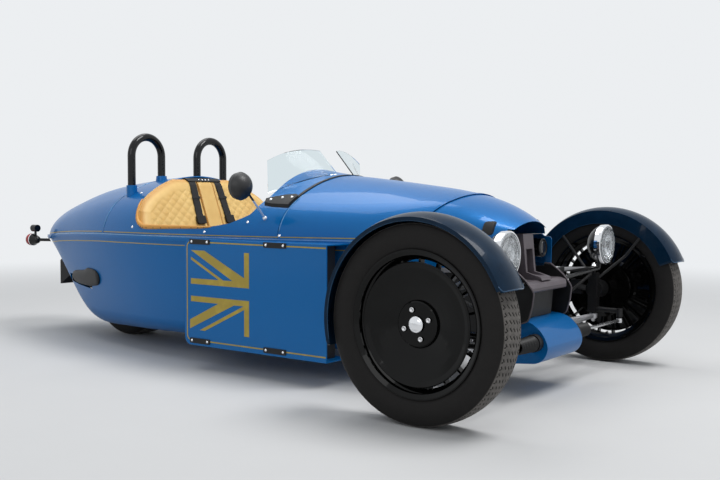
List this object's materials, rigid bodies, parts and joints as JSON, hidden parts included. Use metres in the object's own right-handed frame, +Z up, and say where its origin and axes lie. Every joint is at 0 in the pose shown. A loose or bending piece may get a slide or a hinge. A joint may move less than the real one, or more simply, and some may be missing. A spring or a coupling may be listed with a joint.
{
  "type": "three-wheeled open car",
  "caption": "Open two-seat three-wheeled car with wings that steer with the front wheels, roll hoops, round lamps and a hinged boot lid.",
  "frame": {"origin": "on the ground, under the middle of the car's length and width", "axes": "+X forward, +Y to the car's left, +Z up"},
  "size_m": [3.5806, 1.841, 1.1369],
  "materials": {
    "body_paint": "metallic gloss",
    "belt_web": "woven",
    "black_plastic": "satin",
    "frame_steel": "satin",
    "tan_leather": "quilted",
    "dash_metal": "satin",
    "alloy": "cast",
    "grey_plastic": "satin",
    "clear_lens": "clear",
    "chrome": "polished",
    "gloss_black": "gloss",
    "cooler": "black finned",
    "bright_steel": "satin",
    "red_lens": "gloss",
    "screen_clear": "clear",
    "helm_leather": "grained",
    "tyre": "matte"
  },
  "bodies": {
    "car": {"belt_mouldings": "body_paint", "belts": "belt_web", "blade_mounts": "black_plastic", "bonnet": "body_paint", "boot_hinges": "frame_steel", "bulkheads": "frame_steel", "centre_pad": "tan_leather", "chassis_plates": "frame_steel", "coaming_rolls": "tan_leather", "cockpit_surround": "body_paint", "crash_box": "black_plastic", "dashboard": "dash_metal", "engine_block": "alloy", "exhaust": "frame_steel", "front_bib": "body_paint", "front_cover": "grey_plastic", "front_frame": "grey_plastic", "headlamp_lenses": "clear_lens", "headlamp_rims": "chrome", "headlamps": "gloss_black", "indicators": "black_plastic", "lower_arms": "alloy", "mirrors": "black_plastic", "nose_cowl": "body_paint", "nose_lamps": "gloss_black", "plate_bracket": "black_plastic", "rack_housing": "black_plastic", "radiators": "cooler", "rear_axle": "bright_steel", "rear_lamp_lenses": "red_lens", "rear_lamps": "gloss_black", "roll_hoops": "gloss_black", "screens": "screen_clear", "scuttle_strip": "black_plastic", "seat_backs": "tan_leather", "seat_bases": "tan_leather", "side_blades": "body_paint", "steering_column": "frame_steel", "swing_arm": "frame_steel", "tub": "body_paint", "tunnel": "tan_leather", "upper_arms": "frame_steel"},
    "boot_lid": {"boot_lid": "body_paint"},
    "knuckle_left": {"knuckle_left": "frame_steel", "mudguard_left": "gloss_black"},
    "knuckle_right": {"knuckle_right": "frame_steel", "mudguard_right": "gloss_black"},
    "wheel_left": {"rim_left": "gloss_black", "tyre_left": "tyre", "wheel_cover_left": "gloss_black"},
    "wheel_rear": {"rim_rear": "gloss_black", "tyre_rear": "tyre"},
    "wheel_right": {"rim_right": "gloss_black", "tyre_right": "tyre", "wheel_cover_right": "gloss_black"},
    "steering_wheel": {"steering_wheel": "helm_leather"},
    "rack": {"tie_rods": "bright_steel"}
  },
  "joints": [
    {"name": "steer_right", "type": "hinge", "parent": "car", "child": "knuckle_right", "pos_m": [1.42065, -0.68, 0.362], "axis": [0, 0, 1], "range_deg": [-30, 30]},
    {"name": "steer_left", "type": "hinge", "parent": "car", "child": "knuckle_left", "pos_m": [1.42065, 0.68, 0.362], "axis": [0, 0, 1], "range_deg": [-30.5, 30.5]},
    {"name": "rack_slide", "type": "slide", "parent": "car", "child": "rack", "axis": [0, 1, 0], "range_m": [-0.075, 0.075]},
    {"name": "steering_wheel_turn", "type": "hinge", "parent": "car", "child": "steering_wheel", "pos_m": [0.00065, 0.235, 0.73], "axis": [-0.9135, 0, 0.4067], "range_deg": [-425, 425]},
    {"name": "wheel_right_spin", "type": "hinge", "parent": "knuckle_right", "child": "wheel_right", "pos_m": [1.42065, -0.835, 0.362], "axis": [0, 1, 0], "continuous": true},
    {"name": "wheel_left_spin", "type": "hinge", "parent": "knuckle_left", "child": "wheel_left", "pos_m": [1.42065, 0.835, 0.362], "axis": [0, 1, 0], "continuous": true},
    {"name": "wheel_rear_spin", "type": "hinge", "parent": "car", "child": "wheel_rear", "pos_m": [-1.08935, 0, 0.303], "axis": [0, 1, 0], "continuous": true},
    {"name": "boot_lid_hinge", "type": "hinge", "parent": "car", "child": "boot_lid", "pos_m": [-1.73035, 0, 0.57], "axis": [0, 1, 0], "range_deg": [-60, 0]}
  ],
  "couplings": [
    {"joint": "steer_left", "follows": "steer_right", "ratio": 1},
    {"joint": "rack_slide", "follows": "steer_right", "m_per_rad": 0.14},
    {"joint": "steering_wheel_turn", "follows": "steer_right", "ratio": 14}
  ]
}
